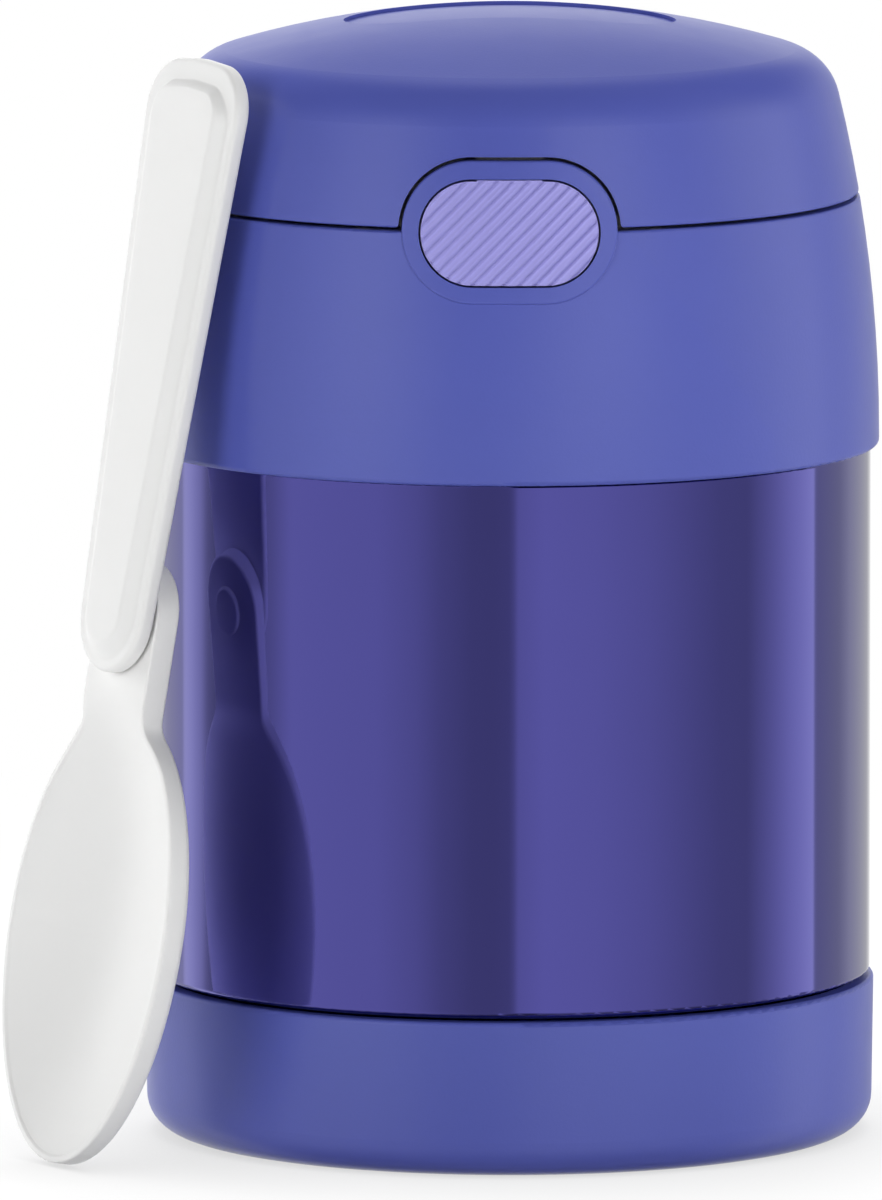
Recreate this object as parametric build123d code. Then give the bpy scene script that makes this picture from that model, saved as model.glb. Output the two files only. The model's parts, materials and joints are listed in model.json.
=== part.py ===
"""Insulated food jar: a vacuum steel jar with a boot, a screw lid with a flip cap, and a folding spoon.

Millimetres. The origin is on the jar's axis at its base, +Z up. The button and the front face -Y.
"""
from build123d import *
import math
import os

# ---- clearances ----
glue_gap = 0.1  # round pieces that are glued or pressed into each other
running_gap = 0.06  # a pin in the bore that turns on it
part_gap = 0.3  # pieces that move past each other

# ---- jar ----
steel_radius = 43.0
steel_height = 63.63  # of the wall that shows, from the boot to the lid
steel_wall = 0.5
foot_step = 1.6  # how far the shell steps in under the boot
foot_rise = 0.1  # of the step's start above the boot
step_rise = 0.6
foot_round = 0.3
step_round = 0.6
shoulder_round = 1.2
neck_round = 1.0
boot_proud = 0.46  # how far the boot's rim stands out from the steel
boot_taper = 0.26
boot_height = 18.7
boot_floor = 3.2
boot_corner = 4.4
boot_edge_round = 0.5
boot_groove_inset = 10.4  # of the groove's middle from the shell's foot
boot_groove_width = 3.0
boot_groove_depth = 0.6
neck_height = 16.67  # from the lid's lower edge to the rim
neck_step = 4.4
shoulder_rise = 3.6
lip_width = 3.0  # from the neck's outside to the mouth
vessel_step = 0.9  # how much wider the vessel is than its mouth
vessel_wall = 0.4
vessel_corner = 9.0
vessel_neck_round = 2.0
vessel_rise = 4.8  # of the vessel's floor above the bottom plate
plate_rise = 4.0  # of the bottom plate above its own foot
plate_round = 1.5
foil_wall = 0.2
foil_drop = 2.5
getter_radius = 4.0
getter_height = 1.5
getter_offset = 14.0
seal_radius = 3.0
seal_height = 1.4
seal_round = 0.9

# ---- screw thread between the jar's neck and the lid ----
thread_starts = 3
thread_lead = 12.0
thread_turn = 240.0  # degrees that each ridge runs round
thread_height = 1.2
thread_root = 1.8
thread_crest = 0.9
thread_slack = 0.4  # radial room between a crest and the wall it faces
thread_flank = 0.3  # axial room at the flank that pulls the lid down
thread_rise = 4.97  # of the lower ridge ends above the lid's lower edge
thread_bite = 0.15  # how deep a ridge is rooted in its wall

# ---- outer form of the lid, shared by the sleeve and the cap ----
collar_proud = 1.0  # how far the lid's widest place stands out from the steel
collar_rise = 1.17  # of the widest place above the lid's lower edge
side_arc = 172.0
crown_arc = 118.7
crown_round = 7.28
sleeve_height = 29.85  # from the lid's lower edge to the seam
cap_height = 22.28  # from the seam to the top
lip_wall = 0.7
lip_depth = 2.1
lip_round = 0.6
seam_gap = 0.4
seam_round = 0.3
cap_wall = 1.6
liner_wall = 1.2
liner_foot_gap = 0.5
deck_wall = 4.1  # of the sleeve beside the tray, measured at the widest place

# ---- stopper inside the lid ----
stopper_wall = 1.5
stopper_round = 2.5
stopper_depth = 8.0  # below the rim of the jar
plug_gap = 0.4
skirt_gap = 0.9  # how far the skirt reaches below the top of the jar's shoulder
gasket_height = 2.2
gasket_round = 0.5
foam_round = 2.0
tray_wall = 1.5
tray_drop = 1.55  # of the tray's rim below the sleeve's

# ---- button in the front of the lid ----
button_width = 20.9
button_height = 12.05
button_drop = 0.23  # of the button's centre below the seam
button_wall = 1.4
button_travel = 1.5
button_proud = 0.45
button_depth = 7.1  # of the button's back, from the lid's widest place
button_flange = 1.0  # how far the flange stands out round the button's back
flange_wall = 0.8
button_gap = 0.25
key_width = 7.7  # the key on the button's upper edge
key_gap = 0.1
rib_pitch = 1.29
rib_shift = 0.18  # of the middle groove from the button's centre, square to the ribs
rib_groove = 0.3
rib_depth = 0.18
rib_overrun = 0.3  # how far the grooves run on past the button's edge
frame_width = 25.35
frame_height = 16.65
frame_drop = 0.15  # of the frame's centre below the seam
frame_proud = 0.35
frame_wall = 1.5
frame_round = 0.3
notch_gap = 0.4
notch_corner = 0.5
top_recess_length = 39.5
top_recess_width = 19.0
top_recess_depth = 0.45

# ---- latch between the button and the cap ----
latch_width = 8.0
latch_wall = 1.3
latch_plate_drop = 1.0  # how far the plate ends below the flange's top
nose_height = 1.2
nose_reach = 1.65
ledge_height = 1.0
ledge_overlap = 0.8  # how far the catch stands in front of the hook's post
ledge_rise = 0.6
latch_short = 0.45  # how far the hook stops short of the catch
latch_lift = 0.3
guide_wall = 1.2
guide_room = 0.5  # behind the hook, with the button pressed
guide_height = 16.0
cheek_drop = 0.3
spring_drop = 2.5  # of the spring's axis below the button's centre
spring_wire = 0.45
spring_radius = 2.4
spring_turns = 3.5
peg_radius = 1.5
peg_length = 1.0

# ---- hinge behind ----
hinge_depth = 7.2  # of the pin's axis from the lid's widest place
hinge_rise = 2.32  # of the pin's axis above the seam
pin_radius = 1.0
pin_gap = 0.02
pin_short = 3.0  # how far the pin ends inside each tower's outer face
knuckle_radius = 2.8
knuckle_length = 18.4
knuckle_gap = 0.25
spring_slot = 7.0
slot_room = 0.2
tower_width = 8.0
tower_radius = 6.6
tower_corner = 1.6
cap_cut_margin = 0.4
cap_cut_corner = 1.2
liner_cut_margin = 0.4
liner_cut_rise = 2.2
arm_gap = 0.6  # between the arm's foot and the notch that it swings through
arm_rise = 1.5  # of the arm's root above the cut in the cap
arm_wall = 3.4
rear_notch_depth = 2.7
rear_notch_gap = 0.15
relief_gap = 0.3  # round the circle that the arm's foot swings on
tower_inset = 2.6
torsion_wire = 0.5
torsion_radius = 1.75
torsion_turns = 8.0
torsion_slack = 1.35  # pitch of the coils over the wire's thickness
bend_radius = 0.28
cap_leg = 5.5
cap_leg_lean = 13.0  # degrees
tray_leg_reach = 5.0  # of the other leg's end inside the pin's axis

# ---- folding spoon, leaning on the jar ----
handle_length = 66.3  # from the pivot to the far end
handle_end_radius = 6.95
handle_top_half = 10.2
handle_corner = 6.2
handle_crown = 0.3  # how far the far end swells beyond its corners
handle_crown_radius = 9.0
handle_wall = 2.0
handle_round = 0.6
plateau_height = 1.1
plateau_margin = 1.6
plateau_slope = 1.7
plateau_round = 0.6
tab_radius = 6.8
tab_wall = 3.25
tab_gap = 0.25
bowl_centre = 37.4  # from the pivot to the widest place
bowl_half_width = 17.5
bowl_tip = 27.9
bowl_heel = 25.9
bowl_drop = 1.6  # how far the rim lies behind the handle's back
bowl_side = 2.5
bowl_belly = 4.2
bowl_hollow = 5.2
bowl_rim = 0.8
neck_fillet = 5.0
slope_start = 9.0
slope_end = 16.0
tab_back_end = 13.5
rivet_radius = 1.6
rivet_head_radius = 3.0
rivet_head_wall = 0.8
rivet_head_gap = 0.05
rivet_head_round = 0.4
rivet_depth = 1.8
spoon_azimuth = 57.7  # degrees that the spoon's face is turned from -Y towards -X
spoon_lean = 10.7  # degrees
spoon_offset = -1.25  # of the pivot, along the spoon's width
spoon_inset = 3.7  # of the handle's back from the lid's widest place, at reach_drop
reach_drop = 2.46  # below the top of the lid
floor_gap = 0.1

# ---- worked out from the above ----
foot_radius = steel_radius - foot_step
boot_rim_radius = steel_radius + boot_proud
boot_groove_radius = foot_radius - boot_groove_inset
lid_foot = boot_height + steel_height
rim_height = lid_foot + neck_height
neck_radius = steel_radius - neck_step
mouth_radius = neck_radius - lip_width
vessel_radius = mouth_radius + vessel_step
plate_height = boot_floor + plate_rise
vessel_floor = plate_height + vessel_rise
shoulder_low = lid_foot + part_gap
shoulder_high = shoulder_low + shoulder_rise
shell_top = rim_height - vessel_wall
thread_low = lid_foot + thread_rise
female_root = neck_radius + thread_slack + thread_height
skirt_outer = female_root + stopper_wall
plug_radius = mouth_radius - plug_gap
plug_low = rim_height - stopper_depth
seat_height = rim_height + gasket_height + 2 * glue_gap
deck_height = seat_height + stopper_wall
skirt_low = shoulder_high - skirt_gap

collar_radius = steel_radius + collar_proud
collar_height = lid_foot + collar_rise
seam_height = lid_foot + sleeve_height
lid_top = seam_height + cap_height
sleeve_top = seam_height - seam_gap / 2
cap_foot = seam_height + seam_gap / 2
sleeve_bore = collar_radius - deck_wall
tray_radius = sleeve_bore - glue_gap
tray_floor = deck_height + tray_wall
tray_top = sleeve_top - tray_drop

button_centre = seam_height - button_drop
button_back = collar_radius - button_depth
latch_front = button_back - nose_reach
latch_back = latch_front - latch_wall
guide_front = latch_back - button_travel - guide_room
guide_back = guide_front - guide_wall
spring_height = button_centre - spring_drop
cheek_inner = button_width / 2 + button_flange + part_gap
cheek_outer = cheek_inner + guide_wall
chamber_back = guide_back - glue_gap
chamber_half = cheek_outer + button_travel
frame_centre = seam_height - frame_drop
frame_top = frame_centre + frame_height / 2
catch_tip = latch_front + ledge_overlap
catch_low = frame_top + notch_gap + ledge_rise
nose_low = catch_low + ledge_height + latch_lift

hinge_y = collar_radius - hinge_depth
hinge_z = seam_height + hinge_rise
arm_half = knuckle_length / 2
tower_inner = arm_half + knuckle_gap
tower_outer = tower_inner + tower_width
tower_top = hinge_z + tower_radius
pin_length = 2 * (tower_outer - pin_short)
cap_cut_half = tower_outer + cap_cut_margin
cap_cut_height = tower_top + cap_cut_margin
rear_notch_floor = sleeve_top - rear_notch_depth
arm_foot = rear_notch_floor + arm_gap
rear_start = hinge_y / 2  # cuts for the hinge begin here, inside the lid

spoon_reach = collar_radius - spoon_inset
reach_height = lid_top - reach_drop
FAR = 200.0  # longer than any piece, for cutting tools


# ---- plane outlines and turned forms ----
def crossing(p, u, q, v):
    """The point where the line from p along u meets the line from q along v."""
    det = u[0] * v[1] - u[1] * v[0]
    s = ((q[0] - p[0]) * v[1] - (q[1] - p[1]) * v[0]) / det
    return (p[0] + s * u[0], p[1] + s * u[1])


def beside(path, wall):
    """An open path moved to its left by wall, with mitred corners."""
    ways = []
    for a, b in zip(path, path[1:]):
        length = math.dist(a, b)
        ways.append(((b[0] - a[0]) / length, (b[1] - a[1]) / length))
    shifted = [(p[0] - w[1] * wall, p[1] + w[0] * wall) for p, w in zip(path, ways)]
    last = (path[-1][0] - ways[-1][1] * wall, path[-1][1] + ways[-1][0] * wall)
    corners = [crossing(shifted[i], ways[i], shifted[i + 1], ways[i + 1]) for i in range(len(ways) - 1)]
    return [shifted[0]] + corners + [last]


def round_corners(face, rounds):
    """A plane face with the corner nearest to each point in rounds rounded by its radius."""
    for point, radius in rounds:
        corner = face.vertices().sort_by_distance(Vector(*point))[0]
        face = fillet(corner, radius)
    return face


def spun(face):
    """The solid that a face in (radius, height) coordinates sweeps round the jar's axis."""
    return revolve(Plane.XZ * face, axis=Axis.Z)


def turned(points, rounds=()):
    """The turned solid of a closed outline of (radius, height) points."""
    return spun(round_corners(make_face(Polyline(*points, close=True)), rounds))


def sheet(path, wall, radii):
    """A wall of even thickness turned from an open path, on the path's left where wall is positive."""
    other = beside(path, wall)
    rounds = []
    for i, radius in enumerate(radii, start=1):
        if radius:
            before = (path[i][0] - path[i - 1][0], path[i][1] - path[i - 1][1])
            after = (path[i + 1][0] - path[i][0], path[i + 1][1] - path[i][1])
            left_turn = before[0] * after[1] - before[1] * after[0] > 0
            rounds.append((path[i], radius))
            rounds.append((other[i], radius - wall if left_turn else radius + wall))
    return turned(path + other[::-1], rounds)


def tube(inner, outer, low, high):
    """A straight tube round the jar's axis."""
    return turned([(inner, low), (outer, low), (outer, high), (inner, high)])


def block(x, y, z):
    """A box between pairs of limits."""
    size = [b - a for a, b in (x, y, z)]
    middle = [(a + b) / 2 for a, b in (x, y, z)]
    return Pos(*middle) * Box(*size)


def obround_post(width, height, centre_z, front=FAR, back=0.0):
    """An obround post that points to the front, from back to front millimetres off the axis."""
    face = Plane((0, -back, centre_z), x_dir=(1, 0, 0), z_dir=(0, -1, 0)) * SlotOverall(width, height)
    return extrude(face, amount=front - back)


# ---- the lid's outer form ----
def lid_outline(inset, low):
    """Half the section inside the lid's outer surface moved in by inset, above the height low."""
    side_centre = (collar_radius - side_arc, collar_height)
    crown_centre = (0.0, lid_top - crown_arc)
    reach_side = side_arc - crown_round
    reach_crown = crown_arc - crown_round
    dx = side_centre[0] - crown_centre[0]
    dz = side_centre[1] - crown_centre[1]
    gap = math.hypot(dx, dz)
    along = (reach_crown**2 - reach_side**2 + gap**2) / (2 * gap)
    across = math.sqrt(reach_crown**2 - along**2)
    round_centre = (
        crown_centre[0] + (along * dx + across * dz) / gap,
        crown_centre[1] + (along * dz - across * dx) / gap,
    )
    crown_angle = math.atan2(round_centre[1] - crown_centre[1], round_centre[0] - crown_centre[0])
    side_angle = math.atan2(round_centre[1] - side_centre[1], round_centre[0] - side_centre[0])
    foot_angle = math.asin((max(low, collar_height) - collar_height) / (side_arc - inset))

    def arc(centre, radius, start, end):
        points = [
            (centre[0] + radius * math.cos(a), centre[1] + radius * math.sin(a))
            for a in (start, (start + end) / 2, end)
        ]
        return ThreePointArc(*points)

    side = arc(side_centre, side_arc - inset, foot_angle, side_angle)
    corner = arc(round_centre, crown_round - inset, side_angle, crown_angle)
    crown = arc(crown_centre, crown_arc - inset, crown_angle, math.pi / 2)
    start = side @ 0
    end = crown @ 1
    lines = [Line((0, low), (start.X, low))]
    if start.Y > low + 1e-6:
        lines.append(Line((start.X, low), (start.X, start.Y)))
    return make_face(Curve() + lines + [side, corner, crown, Line((end.X, end.Y), (0, low))])


def lid_radius(height):
    """Radius of the lid's outer surface at a height on its side."""
    return collar_radius - side_arc + math.sqrt(side_arc**2 - (height - collar_height) ** 2)


def lid_form(inset, low):
    """The solid inside the lid's outer surface moved in by inset, above the height low."""
    return spun(lid_outline(inset, low))


def lid_shell(inset, wall, low):
    """The wall between two insets of the lid's form, above the height low."""
    return lid_form(inset, low) - lid_form(inset + wall, low - 1.0)


# ---- screw thread ----
def thread_ridges(root_radius, height, low, first_angle):
    """Ridges of a multi-start thread; a negative height points them inward from the root."""
    rise = thread_lead * thread_turn / 360.0
    path = Helix(pitch=thread_lead, height=rise, radius=root_radius)
    start = path @ 0
    bite = math.copysign(thread_bite, height)
    profile = Plane(start, x_dir=(1, 0, 0), z_dir=path % 0) * make_face(
        Polyline(
            (-bite, -thread_root / 2),
            (height, -thread_crest / 2),
            (height, thread_crest / 2),
            (-bite, thread_root / 2),
            close=True,
        )
    )
    ridge = sweep(profile, path=path, is_frenet=True)
    return [
        Pos(0, 0, low) * Rot(0, 0, first_angle + 360.0 * k / thread_starts) * ridge
        for k in range(thread_starts)
    ]


# ---- jar ----
def make_base_boot():
    foot = boot_rim_radius - boot_taper
    body = turned(
        [(0, 0), (foot, 0), (boot_rim_radius, boot_height), (0, boot_height)],
        [((foot, 0), boot_corner), ((boot_rim_radius, boot_height), boot_edge_round)],
    )
    socket = tube(0, foot_radius + glue_gap, boot_floor, boot_height + 1)
    groove = tube(
        boot_groove_radius - boot_groove_width / 2,
        boot_groove_radius + boot_groove_width / 2,
        -1,
        boot_groove_depth,
    )
    return body - socket - groove


def make_outer_shell():
    path = [
        (foot_radius, boot_floor),
        (foot_radius, boot_height + foot_rise),
        (steel_radius, boot_height + foot_rise + step_rise),
        (steel_radius, shoulder_low),
        (neck_radius, shoulder_high),
        (neck_radius, shell_top),
    ]
    shell = sheet(path, steel_wall, [foot_round, step_round, shoulder_round, neck_round])
    for ridge in thread_ridges(neck_radius, thread_height, thread_low, 0.0):
        shell += ridge
    return shell


def make_inner_vessel():
    path = [
        (0, vessel_floor),
        (vessel_radius, vessel_floor),
        (vessel_radius, shoulder_low),
        (mouth_radius, shoulder_high),
        (mouth_radius, rim_height),
        (neck_radius, rim_height),
    ]
    return sheet(path, -vessel_wall, [vessel_corner, vessel_neck_round, vessel_neck_round, 0])


def make_shell_bottom_plate():
    flange = foot_radius - steel_wall - glue_gap / 2
    path = [(0, plate_height), (flange, plate_height), (flange, boot_floor)]
    return sheet(path, -steel_wall, [plate_round])


def make_vacuum_seal():
    top = plate_height - steel_wall
    low = top - seal_height
    corner = (seal_radius, low)
    return turned([(0, low), corner, (seal_radius, top), (0, top)], [(corner, seal_round)])


def make_getter():
    top = vessel_floor - vessel_wall
    return Pos(getter_offset, 0, top - getter_height / 2) * Cylinder(getter_radius, getter_height)


def make_radiation_foil():
    inner = vessel_radius + vessel_wall + glue_gap / 2
    return tube(inner, inner + foil_wall, vessel_floor + vessel_corner, shoulder_low - foil_drop)


# ---- lid ----
def make_lid_gasket():
    inner = plug_radius + part_gap
    outer = neck_radius - part_gap
    low = rim_height + glue_gap
    high = low + gasket_height
    corners = [(inner, low), (outer, low), (outer, high), (inner, high)]
    return turned(corners, [(c, gasket_round) for c in corners])


def make_lid_liner():
    path = [
        (0, plug_low),
        (plug_radius, plug_low),
        (plug_radius, seat_height),
        (female_root, seat_height),
        (female_root, skirt_low),
    ]
    liner = sheet(path, stopper_wall, [stopper_round, 0, 0])
    pull = (thread_root + thread_crest) / 2 + thread_flank
    behind = 360.0 * pull / thread_lead
    for ridge in thread_ridges(female_root, -thread_height, thread_low, behind):
        liner += ridge
    return liner


def make_lid_insulation():
    radius = plug_radius - stopper_wall - 2 * glue_gap
    low = plug_low + stopper_wall + glue_gap
    high = deck_height - glue_gap
    return turned([(0, low), (radius, low), (radius, high), (0, high)], [((radius, low), foam_round)])


def button_frame():
    """The raised obround frame round the button, as a solid with no hole."""
    post = obround_post(frame_width, frame_height, frame_centre)
    frame = post & lid_shell(-frame_proud, frame_wall + frame_proud, collar_height)
    front = frame.faces().sort_by(Axis.Y)[0]
    return fillet(front.edges(), frame_round)


def edge_notch(outline, half):
    """A cut in the cap's lower edge, half wide at its mouth, with rounded corners there."""
    outline += Pos(0, cap_foot - half) * Rectangle(4 * half, 2 * half)
    return round_corners(outline, [((side * half, cap_foot), notch_corner) for side in (-1, 1)])


def frame_notch():
    """Room in the cap for the frame round the button."""
    width = frame_width + 2 * notch_gap
    outline = Pos(0, frame_centre) * SlotOverall(width, frame_height + 2 * notch_gap)
    return extrude(Plane.XZ * edge_notch(outline, width / 2), amount=FAR)


def rear_notch():
    """Room in the lid's rear rim for the cap's hinge arm to swing through."""
    half = arm_half + rear_notch_gap
    swing = math.hypot(lid_radius(arm_foot) - hinge_y, hinge_z - arm_foot) + relief_gap
    relief = Pos(0, hinge_y, hinge_z) * Rot(0, 90, 0) * Cylinder(swing, 2 * half)
    return relief + block((-half, half), (rear_start, FAR), (rear_notch_floor, FAR))


def upright(low_x, high_x, top, corner):
    """The outline of a post that starts far down and ends in rounded upper corners."""
    width = high_x - low_x
    return Pos((low_x + high_x) / 2, top - width) * RectangleRounded(width, 2 * width, corner)


def to_rear(outline):
    """An upright outline drawn out through the rear of the lid."""
    return extrude(Plane.XZ.offset(-rear_start) * outline, amount=-FAR)


def hinge_tower(side):
    """One hinge tower of the lid, flush with the lid's outer form."""
    limits = sorted((side * tower_inner, side * tower_outer))
    tower = Pos(sum(limits) / 2, hinge_y, hinge_z) * Rot(0, 90, 0) * Cylinder(tower_radius, tower_width)
    tower &= to_rear(upright(*limits, tower_top, tower_corner))
    tower &= block(limits, (hinge_y - knuckle_radius, FAR), (tray_top + glue_gap, FAR))
    tower &= lid_form(0, collar_height)
    return tower - tube(0, sleeve_bore - tower_inset, 0, cap_foot + liner_foot_gap)


def make_lid_sleeve():
    foot = make_face(
        Polyline((0, lid_foot), (collar_radius, lid_foot), (collar_radius, collar_height), (0, collar_height),
                 close=True)
    )
    section = lid_outline(0, collar_height) + foot - Pos(0, sleeve_top + FAR / 2) * Rectangle(FAR, FAR)
    rounds = [((collar_radius, lid_foot), lip_round), ((lid_radius(sleeve_top), sleeve_top), seam_round)]
    body = spun(round_corners(section, rounds))
    lip = tube(0, collar_radius - lip_wall, 0, lid_foot + lip_depth)
    inside = turned(
        [(0, 0), (skirt_outer + glue_gap, 0), (skirt_outer + glue_gap, deck_height), (0, deck_height)]
    )
    body = body - lip - inside - tube(0, sleeve_bore, deck_height - 1, FAR)
    body -= rear_notch()
    body += button_frame()
    body -= obround_post(button_width + 2 * button_gap, button_height + 2 * button_gap, button_centre)
    pin_bore = Pos(0, hinge_y, hinge_z) * Rot(0, 90, 0) * Cylinder(pin_radius + pin_gap, pin_length)
    for side in (-1, 1):
        body += hinge_tower(side)
    return body - pin_bore


def make_spoon_tray():
    tray = tube(0, tray_radius, deck_height, tray_top)
    tray -= tube(0, tray_radius - tray_wall, tray_floor, FAR)
    chamber = block((-chamber_half, chamber_half), (-FAR, -chamber_back), (tray_floor, FAR))
    half = chamber_half + tray_wall
    wall = block((-half, half), (-FAR, -chamber_back + tray_wall), (deck_height, tray_top))
    wall &= tube(0, tray_radius - tray_wall / 2, deck_height, FAR)
    return tray + wall - chamber - rear_notch()


def make_button_guide():
    """A bracket with a back wall and two cheeks, and a peg that centres the spring."""
    back = block(
        (-cheek_outer, cheek_outer), (-guide_front, -guide_back), (tray_floor, tray_floor + guide_height)
    )
    guide = back
    cheek_top = sleeve_top - cheek_drop
    for side in (-1, 1):
        limits = sorted((side * cheek_inner, side * cheek_outer))
        cheek = block(limits, (-sleeve_bore, -guide_back), (tray_floor, cheek_top))
        guide += cheek & tube(0, sleeve_bore - part_gap, 0, FAR)
    peg = Plane((0, -guide_back, spring_height), z_dir=(0, -1, 0)) * Circle(peg_radius)
    return guide + extrude(peg, amount=guide_wall + peg_length)


def make_button_spring():
    """A coil spring from the guide's back wall to the plate on the button."""
    length = latch_front - guide_front - glue_gap
    helix = Helix(
        pitch=(length - spring_wire) / spring_turns,
        height=length - spring_wire,
        radius=spring_radius,
        center=(0, -guide_front - (spring_wire + glue_gap) / 2, spring_height),
        direction=(0, -1, 0),
    )
    wire = Plane(helix @ 0, z_dir=helix % 0) * Circle(spring_wire / 2)
    return sweep(wire, path=helix, is_frenet=True)


def rib_grooves():
    """Slanting bars that rise to the right, as wide as the grooves between the button's ribs."""
    span = button_width + button_height
    count = int(span * math.sin(math.radians(45)) / rib_pitch / 2)
    bars = Part()
    for k in range(-count, count + 1):
        bar = Pos(0, 0, k * rib_pitch + rib_shift) * Box(span, FAR / 2, rib_groove)
        bars += Pos(0, -FAR / 4, button_centre) * Rot(0, -45, 0) * bar
    return bars


def make_push_button():
    hollow_width = button_width - 2 * button_wall
    hollow_height = button_height - 2 * button_wall
    outer = obround_post(button_width, button_height, button_centre, back=button_back)
    body = outer & lid_form(-button_proud, collar_height)
    hollow = obround_post(hollow_width, hollow_height, button_centre, back=button_back - 1)
    body -= hollow & lid_form(button_wall - button_proud, collar_height)
    flange = obround_post(
        button_width + 2 * button_flange,
        button_height + 2 * button_flange,
        button_centre,
        back=button_back,
        front=button_back + flange_wall,
    )
    body += flange - obround_post(hollow_width, hollow_height, button_centre)
    key_top = button_centre + button_height / 2 + button_gap - key_gap
    key = block((-key_width / 2, key_width / 2), (-FAR, -button_back), (key_top - button_wall, key_top))
    body += key & lid_shell(-button_proud, button_wall, collar_height)
    field = obround_post(
        button_width + 2 * rib_overrun, button_height + 2 * rib_overrun, button_centre, back=button_back
    )
    skin = lid_shell(-button_proud, rib_depth, collar_height)
    return body - (field & skin & rib_grooves())


def make_latch_slide():
    """A plate on the button's back, with a post that ends in a hook above the frame."""
    half = latch_width / 2
    foot = button_centre - button_height / 2 - button_flange
    plate_top = button_centre + button_height / 2 + button_flange
    top = nose_low + nose_height
    plate = block((-half, half), (-button_back, -latch_front), (foot, plate_top - latch_plate_drop))
    post_foot = spring_height + spring_radius + spring_wire
    post = block((-half, half), (-latch_front, -latch_back), (post_foot, top))
    nose = block((-half, half), (-catch_tip + latch_short, -latch_back), (nose_low, top))
    return plate + post + nose


def make_flip_cap():
    section = lid_outline(0, cap_foot) - lid_outline(cap_wall, cap_foot - 1.0)
    cap = spun(round_corners(section, [((lid_radius(cap_foot), cap_foot), seam_round)]))
    cap -= frame_notch()
    towers = upright(-cap_cut_half, cap_cut_half, cap_cut_height, cap_cut_corner)
    cap -= to_rear(edge_notch(towers, cap_cut_half))
    recess = extrude(SlotOverall(top_recess_length, top_recess_width), amount=FAR)
    cap -= recess & lid_shell(-1.0, top_recess_depth + 1.0, cap_foot)
    # the hinge arm, from the knuckles up to the wall of the cap
    cover = block((-arm_half, arm_half), (rear_start, FAR), (arm_foot, cap_cut_height + arm_rise))
    cover &= lid_shell(0, arm_wall, arm_foot)
    knuckle = Pos(0, hinge_y, hinge_z) * Rot(0, 90, 0) * Cylinder(knuckle_radius, knuckle_length)
    cap += cover + knuckle
    room = knuckle_radius + slot_room
    slot = (-spring_slot / 2, spring_slot / 2)
    cap -= block(slot, (rear_start, hinge_y + room), (0, hinge_z + room))
    cap -= block(slot, (rear_start, FAR), (0, hinge_z - pin_radius))
    cap -= Pos(0, hinge_y, hinge_z) * Rot(0, 90, 0) * Cylinder(pin_radius + running_gap, 2 * tower_inner)
    return cap


def make_cap_liner():
    liner = lid_shell(cap_wall + glue_gap, liner_wall, cap_foot + liner_foot_gap)
    margin = 2 * (notch_gap + part_gap)
    liner -= obround_post(frame_width + margin, frame_height + margin, frame_centre)
    clear = cap_cut_half + liner_cut_margin
    liner -= block((-clear, clear), (rear_start, FAR), (0, cap_cut_height + liner_cut_rise))
    half = latch_width / 2
    ledge = block((-half, half), (-FAR, -catch_tip), (catch_low, catch_low + ledge_height))
    ledge &= lid_form(cap_wall + glue_gap, cap_foot)
    return liner + ledge


def make_hinge_pin():
    return Pos(0, hinge_y, hinge_z) * Rot(0, 90, 0) * Cylinder(pin_radius, pin_length)


def make_hinge_spring():
    """A torsion spring round the pin, with a leg up behind the cap's arm and a leg down to the tray."""
    length = torsion_turns * torsion_wire * torsion_slack
    helix = Helix(
        pitch=length / torsion_turns, height=length, radius=torsion_radius, direction=(1, 0, 0)
    )
    wire = Plane(helix @ 0, z_dir=helix % 0) * Circle(torsion_wire / 2)
    coil = sweep(wire, path=helix, is_frenet=True)
    spring = Pos(-length / 2, hinge_y, hinge_z) * Rot(90, 0, 0) * coil
    lean = math.radians(cap_leg_lean)
    first = Vector(-length / 2, hinge_y - torsion_radius, hinge_z)
    last = Vector(length / 2, hinge_y - torsion_radius, hinge_z)
    rest = Vector(length / 2, hinge_y - tray_leg_reach, tray_floor + torsion_wire)
    for foot, leg in (
        (first, Vector(0, math.sin(lean), math.cos(lean)) * cap_leg),
        (last, rest - last),
    ):
        rod = extrude(Plane(foot, z_dir=leg) * Circle(torsion_wire / 2), amount=leg.length)
        spring += rod + Pos(foot) * Sphere(bend_radius)
    return spring


# ---- spoon, in its own frame: x across, y up the handle from the pivot, z out of its face ----
def handle_outline(margin):
    """The handle's outline, drawn in by margin."""
    corner = handle_corner - margin
    corner_x = handle_top_half - handle_corner
    corner_y = handle_length - handle_crown - handle_corner
    crown_y = handle_length - handle_crown_radius
    rounds = [Circle(handle_end_radius - margin).edge()]
    rounds.append((Pos(0, crown_y) * Circle(handle_crown_radius - margin)).edge())
    for side in (-1, 1):
        rounds.append((Pos(side * corner_x, corner_y) * Circle(corner)).edge())
    return make_hull(rounds)


def spoon_outline():
    """The outline of the tab, the neck and the bowl."""
    bowl = Sketch()
    for reach, low, high in ((bowl_tip, -FAR, 0), (bowl_heel, 0, FAR)):
        half = Pos(0, (low + high) / 2) * Rectangle(FAR, high - low)
        bowl += Pos(0, -bowl_centre) * (Ellipse(bowl_half_width, reach) & half)
    neck_end = -(bowl_centre - bowl_heel * 0.6)
    neck = Pos(0, neck_end / 2) * Rectangle(2 * tab_radius, -neck_end)
    outline = bowl + neck + Circle(tab_radius)
    joint_y = -bowl_centre + bowl_heel * math.sqrt(1 - (tab_radius / bowl_half_width) ** 2)
    for side in (-1, 1):
        corner = outline.vertices().sort_by_distance(Vector(side * tab_radius, joint_y))[0]
        outline = fillet(corner, neck_fillet)
    return outline


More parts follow.
